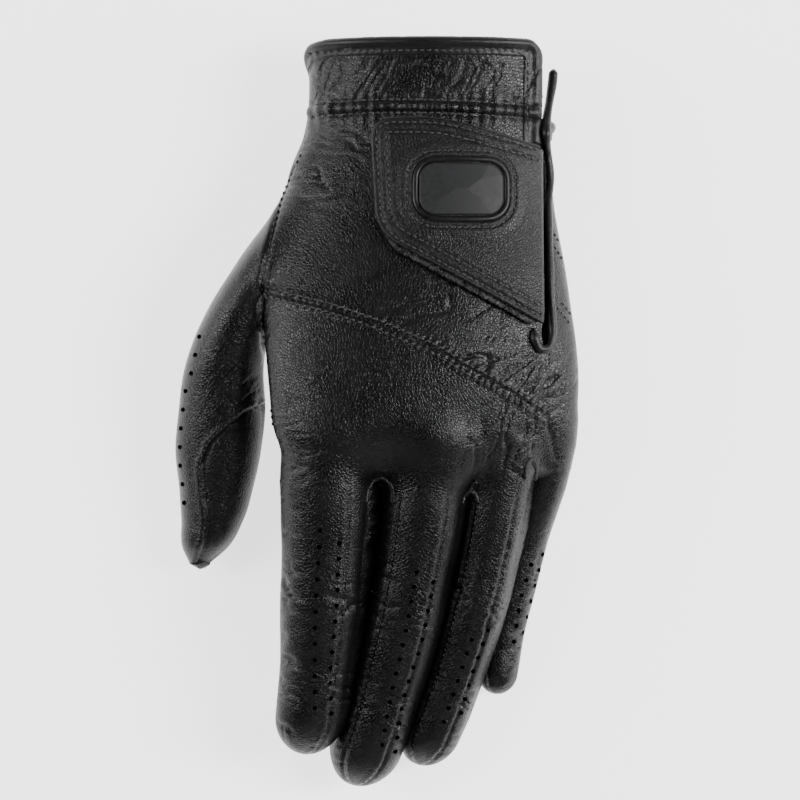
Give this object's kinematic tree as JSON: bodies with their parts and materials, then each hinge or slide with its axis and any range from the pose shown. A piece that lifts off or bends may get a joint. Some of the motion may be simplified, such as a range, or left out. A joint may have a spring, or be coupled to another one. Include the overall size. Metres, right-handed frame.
{
  "type": "golf glove",
  "caption": "Left-hand golf glove of thin black leather with a fold-over wrist closure, a split cuff and finger and thumb stalls that flex.",
  "frame": {"origin": "under the middle of the glove, on the surface that it lies on palm down", "axes": "+Y from the fingers to the cuff, +X from the thumb to the little finger, +Z out of the back of the hand"},
  "size_m": [0.1212, 0.2248, 0.0467],
  "materials": {
    "glove_leather": "pebbled, soft sheen",
    "gusset_leather": "fine-grained, soft sheen",
    "binding_leather": "smooth, soft sheen",
    "tab_leather": "pebbled, matte",
    "lining": "knitted",
    "hook_nylon": "rough nylon hooks",
    "loop_nylon": "brushed nylon loops",
    "badge_rubber": "satin, moulded",
    "rim_rubber": "matte",
    "thread": "twisted polyester",
    "elastic": "ribbed",
    "label_cloth": "woven, blank"
  },
  "bodies": {
    "hand": {"back_panel": "glove_leather", "care_label": "label_cloth", "cuff_binding": "binding_leather", "knuckle_panel": "glove_leather", "knuckle_seam_thread": "thread", "loop_patch": "loop_nylon", "palm_panel": "glove_leather", "slit_binding": "binding_leather", "thumb_base_panel": "glove_leather", "thumb_seam_thread": "thread", "web_gussets": "gusset_leather", "wrist_band": "glove_leather", "wrist_elastic": "elastic", "wrist_seam_thread": "thread"},
    "tab": {"badge": "badge_rubber", "badge_rim": "rim_rubber", "hook_strip": "hook_nylon", "tab_leather": "tab_leather", "tab_lining": "lining", "tab_thread": "thread"},
    "index": {"index_back": "glove_leather", "index_fork_outer": "gusset_leather", "index_palm": "glove_leather"},
    "middle": {"middle_back": "glove_leather", "middle_fork_inner": "gusset_leather", "middle_fork_outer": "gusset_leather", "middle_palm": "glove_leather"},
    "ring": {"ring_back": "glove_leather", "ring_fork_inner": "gusset_leather", "ring_fork_outer": "gusset_leather", "ring_palm": "glove_leather"},
    "little": {"little_back": "glove_leather", "little_fork_inner": "gusset_leather", "little_palm": "glove_leather"},
    "thumb": {"thumb_back": "glove_leather", "thumb_palm": "glove_leather"}
  },
  "joints": [
    {"name": "tab_fold", "type": "hinge", "parent": "hand", "child": "tab", "pos_m": [0.0499, 0.053, 0.03355], "axis": [0, 0.9911, -0.1328], "range_deg": [0, 140]},
    {"name": "index_knuckle", "type": "hinge", "parent": "hand", "child": "index", "pos_m": [-0.01926, -0.02132, 0.02312], "axis": [0.9311, -0.068, -0.3584], "range_deg": [0, 55]},
    {"name": "middle_knuckle", "type": "hinge", "parent": "hand", "child": "middle", "pos_m": [0.01104, -0.02073, 0.0202], "axis": [0.9085, -0.2151, -0.3584], "range_deg": [0, 55]},
    {"name": "ring_knuckle", "type": "hinge", "parent": "hand", "child": "ring", "pos_m": [0.03296, -0.02064, 0.01599], "axis": [0.8863, -0.2487, -0.3907], "range_deg": [0, 55]},
    {"name": "little_knuckle", "type": "hinge", "parent": "hand", "child": "little", "pos_m": [0.04929, -0.02102, 0.00919], "axis": [0.9133, -0.2211, -0.342], "range_deg": [0, 55]},
    {"name": "thumb_joint", "type": "hinge", "parent": "hand", "child": "thumb", "pos_m": [-0.03505, 0.0015, 0.0101], "axis": [0.4358, -0.0319, 0.8995], "range_deg": [0, 8]}
  ]
}
